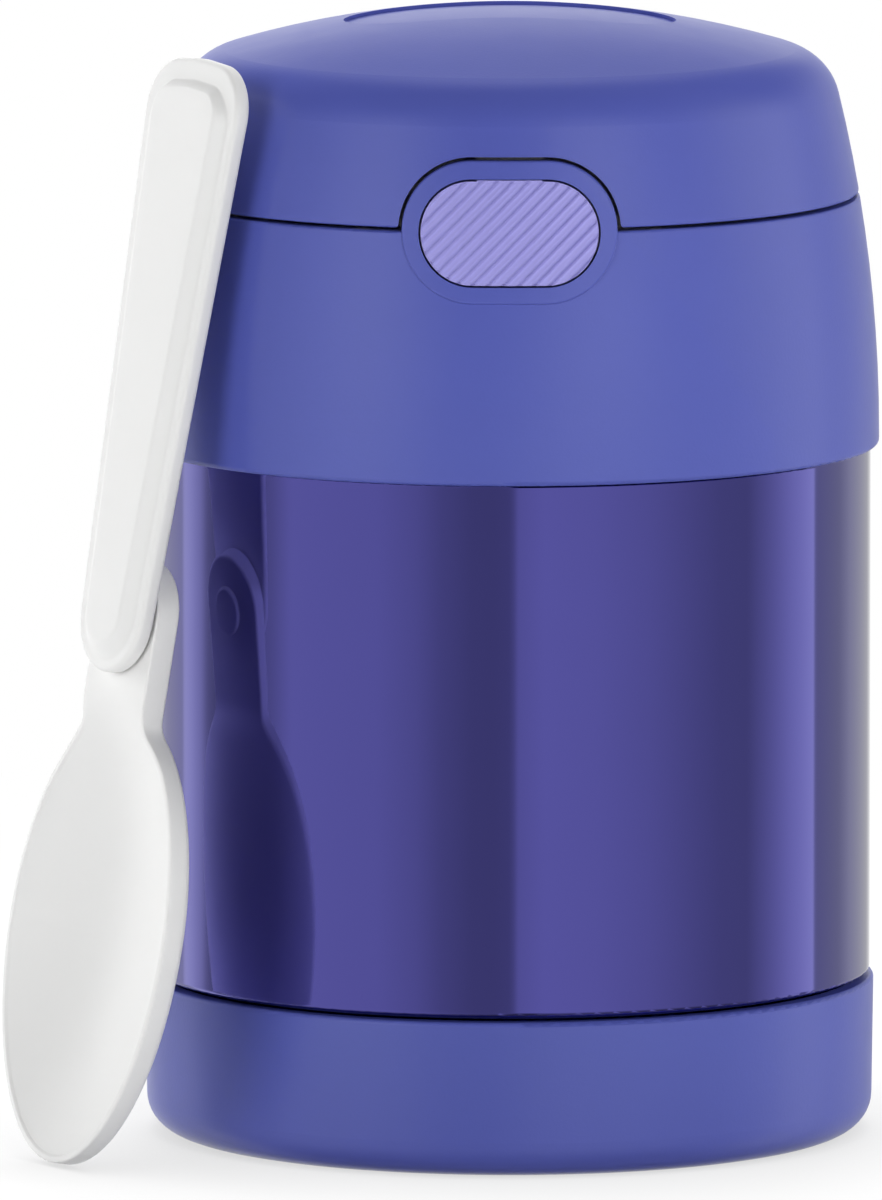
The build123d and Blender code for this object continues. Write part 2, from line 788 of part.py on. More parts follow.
def half_egg(half_width, tip, heel, depth, plane_z):
    """The bowl's round form: two half ellipsoids that meet at the widest place."""
    egg = Part()
    for reach, low, high in ((tip, -FAR, 0), (heel, 0, FAR)):
        ball = scale(Sphere(1.0), by=(half_width, reach, depth))
        egg += ball & block((-FAR, FAR), (low, high), (-FAR, 0))
    return Pos(0, -bowl_centre, plane_z) * egg


def local_spoon_bowl():
    front = -tab_gap
    rim = -bowl_drop
    back = rim - bowl_side
    plate = extrude(Pos(0, 0, back) * spoon_outline(), amount=front - back)
    # the face drops from the neck to the rim of the bowl
    side_view = make_face(
        Polyline(
            (-slope_start, front),
            (-slope_end, rim),
            (-FAR, rim),
            (-FAR, FAR),
            (-slope_start, FAR),
            close=True,
        )
    )
    cutter = Plane((-FAR, 0, 0), x_dir=(0, 1, 0), z_dir=(1, 0, 0)) * side_view
    plate -= extrude(cutter, amount=2 * FAR)
    # the back of the tab and the neck is higher than the back of the bowl's side
    tab_back = front - tab_wall
    plate -= block((-FAR, FAR), (-tab_back_end, FAR), (-FAR, tab_back))
    belly = half_egg(bowl_half_width, bowl_tip, bowl_heel, bowl_belly, back)
    inner = bowl_half_width - bowl_rim
    hollow = half_egg(inner, bowl_tip - bowl_rim, bowl_heel - bowl_rim, bowl_hollow, rim)
    bowl = plate + belly - hollow
    hole = Cylinder(rivet_radius + running_gap, FAR)
    return bowl - hole


def local_spoon_handle():
    flange = extrude(handle_outline(0), amount=handle_wall)
    edges = flange.edges().group_by(Axis.Z)
    flange = fillet(edges[-1] + edges[0], handle_round)
    plateau = loft(
        [
            Pos(0, 0, handle_wall - 0.2) * handle_outline(plateau_margin),
            Pos(0, 0, handle_wall + plateau_height) * handle_outline(plateau_margin + plateau_slope),
        ]
    )
    plateau = fillet(plateau.edges().group_by(Axis.Z)[-1], plateau_round)
    socket = Cylinder(rivet_radius + pin_gap, rivet_depth, align=(Align.CENTER, Align.CENTER, Align.MIN))
    return flange + plateau - socket


def local_spoon_rivet():
    tab_back = -tab_gap - tab_wall
    head_top = tab_back - rivet_head_gap
    low = head_top - rivet_head_wall
    length = rivet_depth - low - rivet_head_gap
    shaft = Cylinder(rivet_radius, length, align=(Align.CENTER, Align.CENTER, Align.MIN))
    head = Cylinder(rivet_head_radius, rivet_head_wall, align=(Align.CENTER, Align.CENTER, Align.MIN))
    head = fillet(head.edges().group_by(Axis.Z)[0], rivet_head_round)
    return Pos(0, 0, low) * (shaft + head)


def spoon_location(bowl):
    """Where the spoon leans: its tip on the floor and its back square to the jar."""
    turn = math.radians(spoon_azimuth)
    lean = math.radians(spoon_lean)
    out = Vector(-math.sin(turn), -math.cos(turn), 0)
    across = Vector(math.cos(turn), -math.sin(turn), 0)
    face = out * math.cos(lean) + Vector(0, 0, math.sin(lean))
    frame = Plane(origin=(0, 0, 0), x_dir=across, z_dir=face)
    pivot_height = floor_gap - (frame.location * bowl).bounding_box().min.Z
    distance = spoon_reach + (reach_height - pivot_height) * math.tan(lean)
    pivot = out * distance + across * spoon_offset + Vector(0, 0, pivot_height)
    print("spoon pivot", [round(v, 4) for v in pivot], "face", [round(v, 6) for v in face])
    print("spoon pulls away along", [round(v, 6) for v in out])
    return Plane(origin=pivot, x_dir=across, z_dir=face).location


def main():
    os.makedirs("parts", exist_ok=True)
    bowl = local_spoon_bowl()
    place = spoon_location(bowl)
    pieces = {
        "base_boot": make_base_boot(),
        "outer_shell": make_outer_shell(),
        "inner_vessel": make_inner_vessel(),
        "shell_bottom_plate": make_shell_bottom_plate(),
        "vacuum_seal": make_vacuum_seal(),
        "getter": make_getter(),
        "radiation_foil": make_radiation_foil(),
        "lid_gasket": make_lid_gasket(),
        "lid_liner": make_lid_liner(),
        "lid_insulation": make_lid_insulation(),
        "lid_sleeve": make_lid_sleeve(),
        "spoon_tray": make_spoon_tray(),
        "button_guide": make_button_guide(),
        "button_spring": make_button_spring(),
        "push_button": make_push_button(),
        "latch_slide": make_latch_slide(),
        "flip_cap": make_flip_cap(),
        "cap_liner": make_cap_liner(),
        "hinge_pin": make_hinge_pin(),
        "hinge_spring": make_hinge_spring(),
        "spoon_bowl": place * bowl,
        "spoon_handle": place * local_spoon_handle(),
        "spoon_rivet": place * local_spoon_rivet(),
    }
    for name, piece in pieces.items():
        export_step(piece, f"parts/{name}.step")


main()
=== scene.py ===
"""Looks of the insulated food jar: camera, studio, materials and the finely modelled pieces.

Everything is in metres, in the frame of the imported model: the jar stands on the floor at the origin,
its button faces -Y and +Z is up. Only the spoon is drawn in a frame of its own, in millimetres.
"""
import json
import math

import bmesh
import bpy
from mathutils import Matrix, Vector


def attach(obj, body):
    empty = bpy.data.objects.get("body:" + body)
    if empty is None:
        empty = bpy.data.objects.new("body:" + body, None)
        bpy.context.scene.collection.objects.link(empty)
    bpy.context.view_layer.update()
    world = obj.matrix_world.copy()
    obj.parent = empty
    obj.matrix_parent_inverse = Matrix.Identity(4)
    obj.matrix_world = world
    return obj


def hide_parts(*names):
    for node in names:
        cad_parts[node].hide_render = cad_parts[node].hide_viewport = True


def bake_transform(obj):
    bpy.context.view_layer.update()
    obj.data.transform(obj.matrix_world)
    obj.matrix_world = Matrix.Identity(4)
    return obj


# ---- the view, fitted to the photograph's round edges ----
PHOTO_HEIGHT = 1200.0  # pixels
FOCAL_PIXELS = 24496.7
SENSOR = 36.0  # mm, along the photograph's height
CAMERA_PLACE = (0.0, -2.895, 0.43419)
CAMERA_PITCH = math.radians(7.30)
CAMERA_YAW = math.radians(0.1614)
CLIP_NEAR = 0.1
CLIP_FAR = 20.0

# ---- colours, as linear values ----
LID_COLOUR = (0.078, 0.098, 0.404)
BOOT_COLOUR = (0.078, 0.097, 0.397)
BUTTON_COLOUR = (0.326, 0.308, 0.715)
LACQUER_COLOUR = (0.069, 0.061, 0.375)
SPOON_COLOUR = (0.780, 0.780, 0.775)
LINER_COLOUR = (0.560, 0.560, 0.580)
FOAM_COLOUR = (0.780, 0.765, 0.700)
GASKET_COLOUR = (0.700, 0.710, 0.720)
STEEL_COLOUR = (0.620, 0.620, 0.630)
FOIL_COLOUR = (0.850, 0.860, 0.870)
BEAD_COLOUR = (0.420, 0.420, 0.430)
GETTER_COLOUR = (0.180, 0.180, 0.190)
WHITE = (1.0, 1.0, 1.0, 1.0)

# ---- the ribs on the button ----
BUTTON_CENTRE = 0.11195  # height
RIB_ANGLE = math.radians(45)  # rising to the right
RIB_PITCH = 0.00129
RIB_SHIFT = 0.00018  # of the middle groove from the button's centre, square to the ribs
RIB_HEIGHT = 0.00012
RIB_FIELD_HALF = 0.01045
RIB_FIELD_RADIUS = 0.00602
RIB_FIELD_FADE = 0.0003
WHOLE_DEPTH = 1.0  # more than the button has, so that the field runs right through it
# across one rib from groove to groove, towards the upper left: (share of the pitch, level)
RIB_RELIEF = ((0.0, 0.0), (0.30, 1.0), (0.5, 0.85), (0.70, 1.0), (1.0, 0.0))
# painted shade and highlight, multiplied into the colour across the same rib: darker on the flank that faces down
# to the right, lighter on the one that faces up to the left, as if lit from the upper left, and a faint painted
# dip in the rib's middle: (share of the pitch, brightness factor)
RIB_PAINTED_LIGHT = (
    (0.0, 0.92), (0.10, 0.90), (0.30, 1.0), (0.5, 0.96), (0.72, 1.08), (0.88, 1.04), (1.0, 0.92),
)

# ---- the spoon's handle, in millimetres: x across, y up the handle from the pivot, z out of its face ----
HANDLE_LENGTH = 66.3
HANDLE_END = 6.95  # radius at the pivot
HANDLE_TOP_HALF = 10.2  # half the width at the far end
HANDLE_CORNER = 6.2  # radius of the corners there
HANDLE_CROWN = 0.3  # how far the far end swells beyond its corners
HANDLE_CROWN_RADIUS = 9.0
HANDLE_WALL = 2.0  # height of the edge, below the plateau
HANDLE_ROUND = 0.6
PLATEAU_HEIGHT = 1.1
PLATEAU_FOOT = 1.2  # of its slope, from the handle's edge
PLATEAU_END_FOOT = 2.5  # the same at the far end
PLATEAU_END_START = 9.0  # from the far end to where the foot begins to draw in
PLATEAU_END_WHOLE = 2.0  # from the far end to where it is drawn in for good
PLATEAU_EDGE = 3.7  # of its flat top, from the handle's edge

# ---- the spoon's bowl and neck, in the same frame ----
TAB_RADIUS = 6.8
TAB_FRONT = -0.25
TAB_BACK = -3.5
NECK_BLEND = 0.8  # how gently the bowl's sides flow into the neck's
ARCH = -9.7  # where the flat of the neck ends
BOWL_CENTRE = -37.4  # of the widest place
BOWL_HALF = 17.5
BOWL_TIP = 27.9
BOWL_HEEL = 25.9
RIM_FRONT = -1.6  # height of the bowl's front edge
RIM_FRONT_END = -18.0  # from here to the arch the face rises to the tab's front
RIM_BACK = -4.1  # height of its back edge
RIM_BACK_END = -15.5  # from here the back rises to the tab's
TAB_BACK_START = -11.5  # and here it gets there
FRONT_ROUND = 0.25
BACK_ROUND = 0.5
BOWL_LIP = 0.9
LIP_DROP = 0.22  # of the hollow's edge below the lip
LIP_END = -22.0  # from here to the arch the drop fades out
HOLLOW = 5.0  # depth below the rim
HOLLOW_POWER = 0.95
HOLLOW_BOW = 0.03  # times the square of the distance across: how much lower its upper end is at the sides
BELLY = 4.1  # depth of the back behind its edge
BELLY_POWER = 0.8
HEEL_POWER = 1.2  # of the hollow and the belly towards the neck

# ---- how finely the spoon is meshed, also in millimetres ----
OUTLINE_STEP = 0.6  # between the points of an outline
TIP_SAMPLES = 60
SIDE_SAMPLES = 120
ARC_SAMPLES = 24
EDGE_STEPS = 5  # rings round an edge
SLOPE_STEPS = 16  # rings up the plateau's slope
BOWL_STEPS = 14  # rings from the bowl's middle line outwards
BOWL_INSET = 1.2  # of the outermost of them
BACK_INSETS = (1.0, 0.8, 0.65)  # rings from there to the back's rounded edge
LIP_INSETS = (0.4, 0.6, 0.75)  # rings across the lip
HOLLOW_INSETS = (BOWL_LIP, 1.0)  # rings that step down from the lip
BOWL_SQUEEZE = 0.86  # length of the middle line as a share of the ring's
HANDLE_SHARES = (0.0, 0.4, 0.8, 1.0)  # of the way out, for the rings of the handle's flat faces
HANDLE_MIDDLE = 30.0  # of its middle line
HANDLE_SQUEEZE = 0.8
MERGE_DISTANCE = 1e-7  # metres, for the points that meet on a middle line
MILLIMETRE = 0.001

# ---- the studio ----
# what mirrors see round the jar: (degrees from the front towards the right, brightness)
SURROUND = (
    (-180, 1.00), (-142, 0.62), (-129.5, 0.70), (-127.5, 1.12), (-123, 1.06), (-117, 0.82), (-113, 0.46),
    (-107, 0.30), (-95, 0.34), (-82, 0.55), (-74, 0.80), (-43, 0.76), (-30, 0.63), (-22, 0.48), (-12, 0.38),
    (-5, 0.37), (1.0, 0.40), (2.5, 0.73), (11, 0.84), (28, 0.80), (45, 0.69), (62, 0.52), (71, 0.44),
    (82, 0.41), (92, 0.66), (102, 0.94), (114, 1.18), (115.5, 0.50), (131, 0.46), (140, 0.55), (163, 0.50),
    (180, 1.00),
)
# how bright that is by the sine of the direction's height: (sine, level)
TILTS = ((-1.0, 0.3), (-0.8, 0.3), (-0.58, 1.0), (0.2, 1.0), (0.5, 0.22), (1.0, 0.22))
SOFT_LIGHT = 0.05  # from all round, for what doesn't mirror

# soft lamps round the jar: (degrees from the front towards the right, degrees up, watts)
LAMPS = (
    (-120, 12, 18.5), (-45, 12, 11.6), (30, 12, 12.3), (90, 12, 13.0), (180, 30, 12.0), (180, 50, 20.0),
)
LAMP_DISTANCE = 1.6
LAMP_WIDTH = 0.8
LAMP_HEIGHT = 1.2
JAR_MIDDLE = 0.07  # height that the lamps are turned to

FLOOR_RADIUS = 6.0
FLOOR_SIDES = 96
FLOOR_COLOUR = (0.86, 0.86, 0.86, 1.0)
FLOOR_FADE = (0.06, 0.32)  # distances from the jar's middle between which the floor turns white
PAINTED_SHADOW_REACH = 0.03  # how far the painted shadow under the jar spreads
PAINTED_SHADOW_SAMPLES = 8
PAINTED_SHADOW_LEVELS = (0.72, 1.05)  # brightness of the painted shadow in the corner and in the open
PAINTED_SHADOW_SHARE = 0.90  # share of the painted shadow in the floor's looks near the jar, against how the lamps light it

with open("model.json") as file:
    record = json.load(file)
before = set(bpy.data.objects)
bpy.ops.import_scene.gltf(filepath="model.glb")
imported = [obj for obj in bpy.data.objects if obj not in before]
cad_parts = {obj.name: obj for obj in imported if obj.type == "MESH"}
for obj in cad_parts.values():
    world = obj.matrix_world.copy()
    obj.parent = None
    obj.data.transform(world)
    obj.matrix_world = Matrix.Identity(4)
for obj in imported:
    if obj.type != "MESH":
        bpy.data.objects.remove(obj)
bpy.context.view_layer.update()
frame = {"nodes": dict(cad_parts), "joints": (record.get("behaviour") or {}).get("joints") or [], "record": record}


# ---- node helpers: an input is either a socket of another node or a plain value ----
def new_material(name):
    material = bpy.data.materials.new(name)
    material.use_nodes = True
    return material, material.node_tree, material.node_tree.nodes["Principled BSDF"]


def node(tree, kind, inputs=None, **settings):
    """A node with its settings, and with its inputs by their names or numbers."""
    made = tree.nodes.new(kind)
    for key, value in settings.items():
        setattr(made, key, value)
    for key, value in (inputs or {}).items():
        if isinstance(value, bpy.types.NodeSocket):
            tree.links.new(value, made.inputs[key])
        else:
            made.inputs[key].default_value = value
    return made


def object_place(tree):
    return node(tree, "ShaderNodeTexCoord").outputs["Object"]


def number(tree, operation, *operands):
    """What an operation on numbers gives."""
    return node(tree, "ShaderNodeMath", dict(enumerate(operands)), operation=operation).outputs["Value"]


def vector(tree, operation, *operands):
    """What an operation on vectors gives: a number for a length or a dot product, and else a vector."""
    made = node(tree, "ShaderNodeVectorMath", dict(enumerate(operands)), operation=operation)
    return made.outputs["Value" if operation in ("LENGTH", "DOT_PRODUCT") else "Vector"]


def moved(tree, value, source=(0.0, 1.0), target=(0.0, 1.0), way="LINEAR"):
    """A value moved from one range to another and held inside it."""
    ends = dict(zip(("From Min", "From Max", "To Min", "To Max"), (*source, *target)))
    made = node(tree, "ShaderNodeMapRange", {"Value": value, **ends}, interpolation_type=way)
    return made.outputs["Result"]


def mixed_colour(tree, share, first, second, blend="MIX"):
    sides = {"Factor": share, "A": first, "B": second}
    return node(tree, "ShaderNodeMix", sides, data_type="RGBA", blend_type=blend).outputs["Result"]


def mixed_shader(tree, share, first, second):
    """The first shader where the share is 0 and the second where it is 1."""
    return node(tree, "ShaderNodeMixShader", {"Fac": share, 1: first, 2: second}).outputs["Shader"]


def grey_ramp(tree, value, stops):
    """A ramp of greys from (place, level) stops."""
    ramp = node(tree, "ShaderNodeValToRGB", {"Fac": value})
    made = ramp.color_ramp.elements
    for index, (place, level) in enumerate(stops):
        stop = made[index] if index < 2 else made.new(place)
        stop.position = place
        stop.color = (level, level, level, 1)
    return ramp.outputs["Color"]


def noise(tree, scale, detail=2.0, roughness=0.5, stretch=(1.0, 1.0, 1.0)):
    """Noise in the object's own coordinates, with scale in cycles per metre."""
    place = node(tree, "ShaderNodeMapping", {"Vector": object_place(tree), "Scale": stretch})
    sizes = {"Vector": place.outputs["Vector"], "Scale": scale, "Detail": detail, "Roughness": roughness}
    return node(tree, "ShaderNodeTexNoise", sizes).outputs["Fac"]


def vary_colour(tree, shader, colour, texture, amount):
    """Lets a texture lighten and darken the base colour by up to amount each way."""
    dark = (*[c * (1 - amount) for c in colour], 1)
    light = (*[min(1, c * (1 + amount)) for c in colour], 1)
    tree.links.new(mixed_colour(tree, texture, dark, light), shader.inputs["Base Color"])


def vary_roughness(tree, shader, texture, low, high):
    tree.links.new(moved(tree, texture, target=(low, high)), shader.inputs["Roughness"])


def add_bump(tree, shader, texture, height, strength):
    """A relief of height metres from a texture."""
    relief = {"Strength": strength, "Distance": height, "Height": texture}
    bump = node(tree, "ShaderNodeBump", relief)
    tree.links.new(bump.outputs["Normal"], shader.inputs["Normal"])


# ---- materials ----
def moulded_plastic(name, colour, rough, grain_scale=2600.0, grain=0.00002, tint=0.03):
    """Matt moulded plastic: a fine spark-eroded grain and a faint unevenness of colour."""
    material, tree, shader = new_material(name)
    clouds = noise(tree, scale=45.0, detail=3.0)
    vary_colour(tree, shader, colour, clouds, amount=tint)
    vary_roughness(tree, shader, noise(tree, scale=160.0), low=rough - 0.04, high=rough + 0.04)
    add_bump(tree, shader, noise(tree, scale=grain_scale, detail=1.0), height=grain, strength=0.5)
    return material


def rib_phase(tree):
    """Place across the ribs of the button, from 0 in the middle of one groove to 1 in the next."""
    across = (-math.sin(RIB_ANGLE), 0, math.cos(RIB_ANGLE))
    middle_groove = BUTTON_CENTRE * math.cos(RIB_ANGLE) + RIB_SHIFT
    start = number(tree, "SUBTRACT", vector(tree, "DOT_PRODUCT", object_place(tree), across), middle_groove)
    return number(tree, "FRACT", number(tree, "DIVIDE", start, RIB_PITCH))


def outside_ribs(tree):
    """1 outside the obround field that the ribs fill and 0 inside it, with a narrow rise between."""
    from_centre = vector(tree, "SUBTRACT", object_place(tree), (0, 0, BUTTON_CENTRE))
    straight = (RIB_FIELD_HALF - RIB_FIELD_RADIUS, WHOLE_DEPTH, 0)
    beyond = vector(tree, "SUBTRACT", vector(tree, "ABSOLUTE", from_centre), straight)
    distance = vector(tree, "LENGTH", vector(tree, "MAXIMUM", beyond, (0, 0, 0)))
    return moved(tree, distance, (RIB_FIELD_RADIUS - RIB_FIELD_FADE, RIB_FIELD_RADIUS), way="SMOOTHSTEP")


def ribbed_plastic(name, colour, rough):
    """Moulded plastic with sloping flanks on the ribs that cross the button, and painted shade and highlight on
    those flanks in its colour.
    """
    material = moulded_plastic(name, colour, rough)
    tree = material.node_tree
    shader = tree.nodes["Principled BSDF"]
    plain_colour = shader.inputs["Base Color"].links[0].from_socket
    grain = shader.inputs["Normal"].links[0].from_node
    phase = rib_phase(tree)
    outside = outside_ribs(tree)
    relief = number(tree, "MAXIMUM", grey_ramp(tree, phase, RIB_RELIEF), outside)
    ribs = node(tree, "ShaderNodeBump", {"Distance": RIB_HEIGHT, "Height": relief})
    tree.links.new(ribs.outputs["Normal"], grain.inputs["Normal"])
    # painted shade and highlight on the rib flanks, multiplied into the base colour inside the ribbed field
    painted_light = mixed_colour(tree, outside, grey_ramp(tree, phase, RIB_PAINTED_LIGHT), WHITE)
    with_painted_shading = mixed_colour(tree, 1.0, plain_colour, painted_light, blend="MULTIPLY")
    tree.links.new(with_painted_shading, shader.inputs["Base Color"])
    return material


def lacquered_steel(name, colour):
    """Steel under a clear coloured lacquer: the metal mirrors in colour, the lacquer's skin mirrors white."""
    material, tree, shader = new_material(name)
    vary_colour(tree, shader, colour, noise(tree, scale=60.0, detail=3.0), amount=0.03)
    vary_roughness(tree, shader, noise(tree, scale=90.0, stretch=(1, 1, 0.2)), low=0.05, high=0.07)
    shader.inputs["Metallic"].default_value = 1.0
    shader.inputs["Coat Weight"].default_value = 1.0
    shader.inputs["Coat Roughness"].default_value = 0.04
    shader.inputs["Coat IOR"].default_value = 1.5
    return material


def bare_metal(name, colour, rough, stretch=(1.0, 1.0, 1.0)):
    """Satin metal with fine marks of how it was worked."""
    material, tree, shader = new_material(name)
    shader.inputs["Metallic"].default_value = 1.0
    marks = noise(tree, scale=400.0, detail=3.0, roughness=0.6, stretch=stretch)
    vary_colour(tree, shader, colour, marks, amount=0.05)
    vary_roughness(tree, shader, marks, low=rough - 0.05, high=rough + 0.08)
    add_bump(tree, shader, marks, height=0.00001, strength=0.25)
    return material


def make_materials():
    """The materials by the names of their slots."""
    fine = {"grain_scale": 3200.0, "grain": 0.00001, "tint": 0.01}
    porous = {"grain_scale": 900.0, "grain": 0.0002, "tint": 0.06}
    return {
        "boot": moulded_plastic("boot", BOOT_COLOUR, rough=0.32),
        "lid_plastic": moulded_plastic("lid_plastic", LID_COLOUR, rough=0.30),
        "button_plastic": ribbed_plastic("button_plastic", BUTTON_COLOUR, rough=0.34),
        "spoon_plastic": moulded_plastic("spoon_plastic", SPOON_COLOUR, rough=0.36, **fine),
        "liner_plastic": moulded_plastic("liner_plastic", LINER_COLOUR, rough=0.42),
        "foam": moulded_plastic("foam", FOAM_COLOUR, rough=0.8, **porous),
        "gasket": moulded_plastic("gasket", GASKET_COLOUR, rough=0.34),
        "lacquered_steel": lacquered_steel("lacquered_steel", LACQUER_COLOUR),
        "bare_steel": bare_metal("bare_steel", STEEL_COLOUR, rough=0.28, stretch=(1, 1, 0.05)),
        "spring_steel": bare_metal("spring_steel", STEEL_COLOUR, rough=0.2),
        "foil": bare_metal("foil", FOIL_COLOUR, rough=0.18),
        "seal_bead": bare_metal("seal_bead", BEAD_COLOUR, rough=0.45),
        "getter_grey": bare_metal("getter_grey", GETTER_COLOUR, rough=0.6),
    }


def dress_cad_nodes(materials):
    """Gives each CAD piece the material of its slot."""
    for part in frame["record"]["subparts"]:
        piece = frame["nodes"][part["node"]]
        piece.data.materials.clear()
        piece.data.materials.append(materials[part["material_slot"]])


# ---- outlines of the spoon ----
def smooth(low, high, value):
    """0 below low, 1 above high and a smooth rise between."""
    t = min(1.0, max(0.0, (value - low) / (high - low)))
    return t * t * (3 - 2 * t)


def mirrored(half):
    """A closed outline from its right half, listed from the lowest point to the highest."""
    return half + [(-x, y) for x, y in half[-2:0:-1]]


def evenly(points, step):
    """The same open line with points about step apart."""
    lengths = [math.dist(a, b) for a, b in zip(points, points[1:])]
    count = round(sum(lengths) / step)
    gap = sum(lengths) / count
    made = [points[0]]
    walked = 0.0
    for a, b, length in zip(points, points[1:], lengths):
        while len(made) < count and gap * len(made) <= walked + length:
            share = (gap * len(made) - walked) / length
            made.append((a[0] + (b[0] - a[0]) * share, a[1] + (b[1] - a[1]) * share))
        walked += length
    return made + [points[-1]]


def arc_points(centre, radius, start, end):
    """Points round a centre from one angle to another, in degrees."""
    angles = [math.radians(start + (end - start) * k / ARC_SAMPLES) for k in range(ARC_SAMPLES + 1)]
    return [(centre[0] + radius * math.cos(a), centre[1] + radius * math.sin(a)) for a in angles]


def tangent_angle(first, first_radius, second, second_radius):
    """Direction, in degrees, in which the line on the right of two circles touches both."""
    heading = math.atan2(second[1] - first[1], second[0] - first[0])
    return math.degrees(heading - math.acos((first_radius - second_radius) / math.dist(first, second))) % 360


def handle_outline():
    """A small round at the pivot, two corners at the far end and a flat crown between them."""
    corner = (HANDLE_TOP_HALF - HANDLE_CORNER, HANDLE_LENGTH - HANDLE_CROWN - HANDLE_CORNER)
    crown = (0, HANDLE_LENGTH - HANDLE_CROWN_RADIUS)
    side = tangent_angle((0, 0), HANDLE_END, corner, HANDLE_CORNER)
    side -= 360 if side > 180 else 0
    end = tangent_angle(corner, HANDLE_CORNER, crown, HANDLE_CROWN_RADIUS)
    half = arc_points((0, 0), HANDLE_END, -90, side)
    half += arc_points(corner, HANDLE_CORNER, side, end)
    half += arc_points(crown, HANDLE_CROWN_RADIUS, end, 90)
    return mirrored(evenly(half, OUTLINE_STEP))


def bowl_reach(y):
    """Length of the bowl from its widest place to the end that y lies towards."""
    return BOWL_TIP if y < BOWL_CENTRE else BOWL_HEEL


def bowl_half_width(y):
    """Half the width of the bowl and the neck, which flow into each other."""
    bowl = BOWL_HALF * math.sqrt(max(0.0, 1 - ((y - BOWL_CENTRE) / bowl_reach(y)) ** 2))
    if y < BOWL_CENTRE:
        return bowl
    return TAB_RADIUS + NECK_BLEND * math.log1p(math.exp((bowl - TAB_RADIUS) / NECK_BLEND))


def bowl_outline():
    """The tip's half ellipse, the side up to the pivot and the tab's round."""
    angles = [math.pi / 2 * k / TIP_SAMPLES for k in range(TIP_SAMPLES)]
    tip = [(BOWL_HALF * math.sin(a), BOWL_CENTRE - BOWL_TIP * math.cos(a)) for a in angles]
    heights = [BOWL_CENTRE * (1 - k / SIDE_SAMPLES) for k in range(SIDE_SAMPLES)]
    side = [(bowl_half_width(y), y) for y in heights]
    tab = arc_points((0, 0), TAB_RADIUS, 0, 90)
    return mirrored(evenly(tip + side + tab, OUTLINE_STEP))


def inward_normals(outline):
    """The direction square to the outline at each point, towards its inside."""
    normals = []
    for before, after in zip(outline[-1:] + outline[:-1], outline[1:] + outline[:1]):
        way = Vector((after[0] - before[0], after[1] - before[1])).normalized()
        normals.append((-way.y, way.x))
    return normals


# ---- surfaces of the spoon's bowl ----
def fall(share, power):
    """1 where the share is 0, and 0 where it is 1 or more; a lower power falls later and steeper."""
    return max(0.0, 1 - share) ** power


def bowl_face(x, y):
    """Height of the bowl's face: a flat neck, then a trough that opens into the hollow."""
    rim = TAB_FRONT + (RIM_FRONT - TAB_FRONT) * (1 - smooth(RIM_FRONT_END, ARCH, y))
    if y < BOWL_CENTRE:
        along = ((y - BOWL_CENTRE) / (BOWL_TIP - BOWL_LIP)) ** 2
        width = (BOWL_HALF - BOWL_LIP) * math.sqrt(max(1e-9, 1 - along))
        depth = fall(along, HOLLOW_POWER)
    else:
        bent = y + HOLLOW_BOW * x * x
        width = bowl_half_width(y) - BOWL_LIP
        depth = fall(((bent - BOWL_CENTRE) / (ARCH - BOWL_CENTRE)) ** 2, HEEL_POWER)
    return rim - HOLLOW * depth * fall((x / width) ** 2, HOLLOW_POWER)


def hollow_face(x, y):
    """The same inside the lip, which fades out where the neck begins."""
    return bowl_face(x, y) - LIP_DROP * (1 - smooth(LIP_END, ARCH, y))


def bowl_back(x, y):
    """Height of the bowl's back: the belly, and the thicker neck and tab."""
    back = TAB_BACK + (RIM_BACK - TAB_BACK) * (1 - smooth(RIM_BACK_END, TAB_BACK_START, y))
    width = bowl_half_width(y)
    along = fall(((y - BOWL_CENTRE) / bowl_reach(y)) ** 2, BELLY_POWER if y < BOWL_CENTRE else HEEL_POWER)
    across = fall((x / width) ** 2, BELLY_POWER) if width > 0 else 0.0
    return back - BELLY * along * across


def lifted(surface, lift):
    """The surface moved out by lift."""
    return lambda x, y: surface(x, y) + lift


# ---- meshes as rings that follow an outline from the middle of the back to the middle of the face ----
def rounded_edge(radius, side):
    """Rings round an edge as (inset, lift): from the wall to the face, or, where side is -1, from the back
    to the wall.
    """
    rings = []
    for k in range(EDGE_STEPS + 1):
        a = math.pi / 2 * k / EDGE_STEPS
        rings.append((radius * (1 - math.cos(a)), side * radius * (math.sin(a) - 1)))
    return rings if side > 0 else rings[::-1]


def at(value, x, y):
    """The value itself, or what it gives at this place where it is a function."""
    return value(x, y) if callable(value) else value


def ring_points(outline, normals, ring, middle, squeeze):
    """The outline drawn in by the ring's inset, then towards the middle line by its share, at its height."""
    inset, share, height = ring
    points = []
    for (x, y), (nx, ny) in zip(outline, normals):
        drawn_in = at(inset, x, y)
        edge = (x + nx * drawn_in, y + ny * drawn_in)
        spine = middle + (edge[1] - middle) * squeeze
        px = edge[0] * share
        py = spine + (edge[1] - spine) * share
        points.append(Vector((px, py, at(height, px, py))))
    return points


def add_object(name, data):
    made = bpy.data.objects.new(name, data)
    bpy.context.scene.collection.objects.link(made)
    return made


def ringed(name, outline, rings, middle, squeeze, place):
    """A closed mesh through rings of (inset, share of the way out from the middle line, height)."""
    normals = inward_normals(outline)
    mesh = bmesh.new()
    rows = []
    for ring in rings:
        points = ring_points(outline, normals, ring, middle, squeeze)
        rows.append([mesh.verts.new(place @ point) for point in points])
    for low, high in zip(rows, rows[1:]):
        for i in range(len(outline)):
            j = (i + 1) % len(outline)
            mesh.faces.new((low[i], low[j], high[j], high[i]))
    bmesh.ops.remove_doubles(mesh, verts=mesh.verts, dist=MERGE_DISTANCE)
    bmesh.ops.recalc_face_normals(mesh, faces=mesh.faces)
    for face in mesh.faces:
        face.smooth = True
    data = bpy.data.meshes.new(name)
    mesh.to_mesh(data)
    mesh.free()
    return add_object(name, data)


